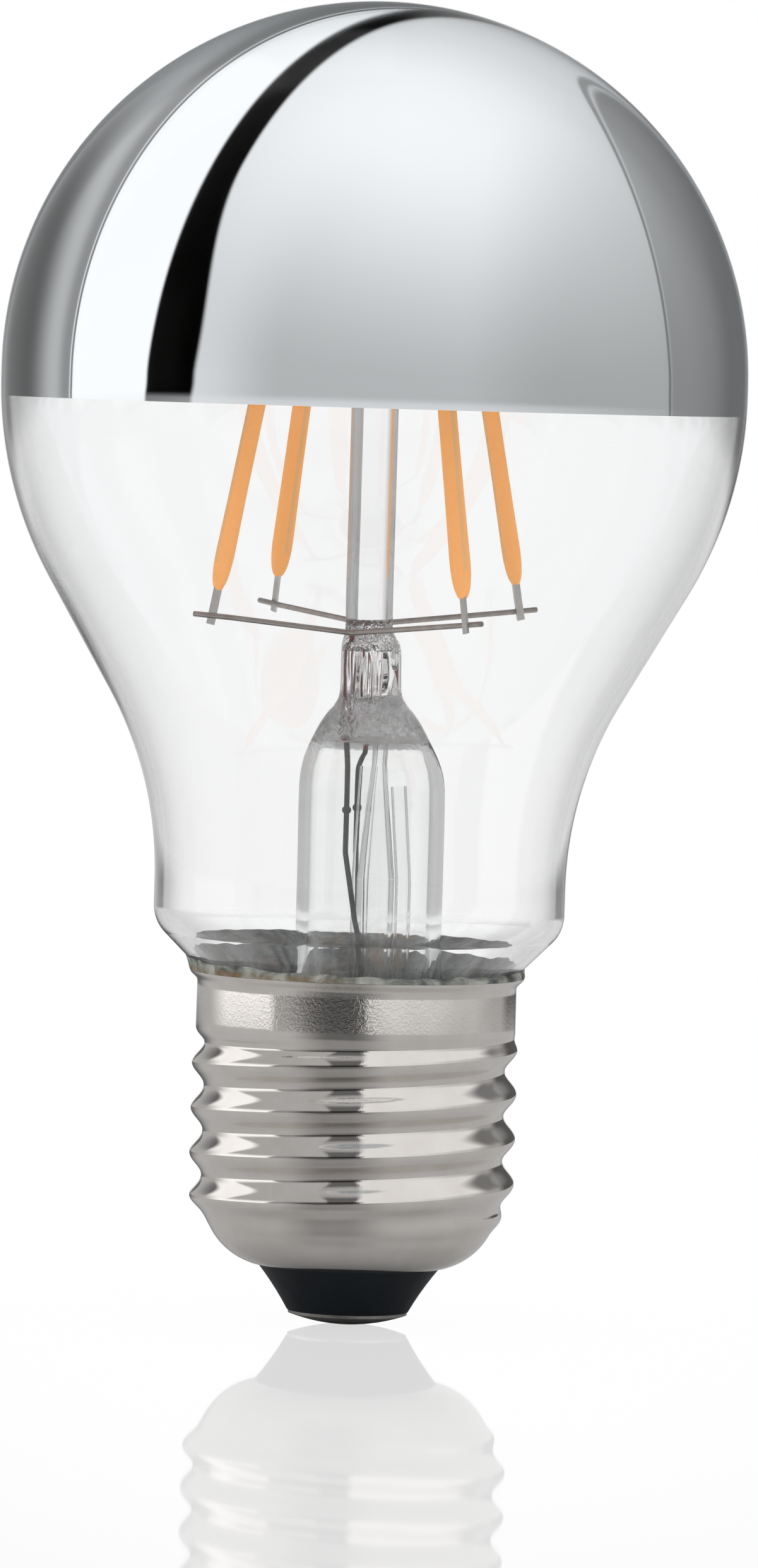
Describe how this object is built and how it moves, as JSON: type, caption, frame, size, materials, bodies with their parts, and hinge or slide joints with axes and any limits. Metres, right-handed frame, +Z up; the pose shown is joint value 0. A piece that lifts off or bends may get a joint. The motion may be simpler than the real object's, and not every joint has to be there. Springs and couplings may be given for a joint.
{
  "type": "led bulb",
  "caption": "Clear round-topped filament lamp with a mirrored crown, upright light strips round a glass stem, and a rolled screw cap.",
  "frame": {"origin": "tip of the centre contact, on the lamp's axis", "axes": "+Z up the lamp's axis to the mirrored crown; the picture is seen from -Y with +X to the right"},
  "size_m": [0.06, 0.06, 0.1064],
  "materials": {
    "clear_glass": "clear polished",
    "silvering": "bright mirror",
    "phosphor": "satin silicone",
    "strip_base": "satin",
    "tab_metal": "satin",
    "wire_metal": "drawn",
    "seal_metal": "oxidised",
    "lead_metal": "drawn, dark",
    "sleeve_plastic": "translucent",
    "shell_metal": "bright nickel",
    "contact_metal": "satin",
    "insulator_black": "glossy black",
    "cement_grey": "matt, mottled",
    "board_laminate": "satin",
    "capacitor_sleeve": "shrunk sleeve",
    "package_black": "moulded",
    "resistor_body": "lacquered",
    "lead_insulation": "smooth",
    "solder_metal": "bright"
  },
  "bodies": {
    "root": {"bridge_rectifier": "package_black", "cap_cement": "cement_grey", "cap_insulator": "insulator_black", "centre_contact": "contact_metal", "crown_mirror": "silvering", "driver_board": "board_laminate", "driver_chip": "package_black", "exhaust_tube": "clear_glass", "filament_1": "phosphor", "filament_1_lower_terminal": "tab_metal", "filament_1_strip": "strip_base", "filament_1_upper_terminal": "tab_metal", "filament_2": "phosphor", "filament_2_lower_terminal": "tab_metal", "filament_2_strip": "strip_base", "filament_2_upper_terminal": "tab_metal", "filament_3": "phosphor", "filament_3_lower_terminal": "tab_metal", "filament_3_strip": "strip_base", "filament_3_upper_terminal": "tab_metal", "filament_4": "phosphor", "filament_4_lower_terminal": "tab_metal", "filament_4_strip": "strip_base", "filament_4_upper_terminal": "tab_metal", "fusible_resistor": "resistor_body", "glass_envelope": "clear_glass", "lead_out_wire_front": "lead_metal", "lead_out_wire_rear": "lead_metal", "lead_sleeve_left": "sleeve_plastic", "lead_sleeve_right": "sleeve_plastic", "live_lead": "lead_insulation", "lower_support_front": "wire_metal", "lower_support_rear": "wire_metal", "neutral_lead": "lead_insulation", "neutral_solder": "solder_metal", "screw_shell": "shell_metal", "seal_wire_front": "seal_metal", "seal_wire_rear": "seal_metal", "smoothing_capacitor": "capacitor_sleeve", "stem_flare": "clear_glass", "support_column": "clear_glass", "upper_link_left": "wire_metal", "upper_link_right": "wire_metal"}
  },
  "joints": []
}
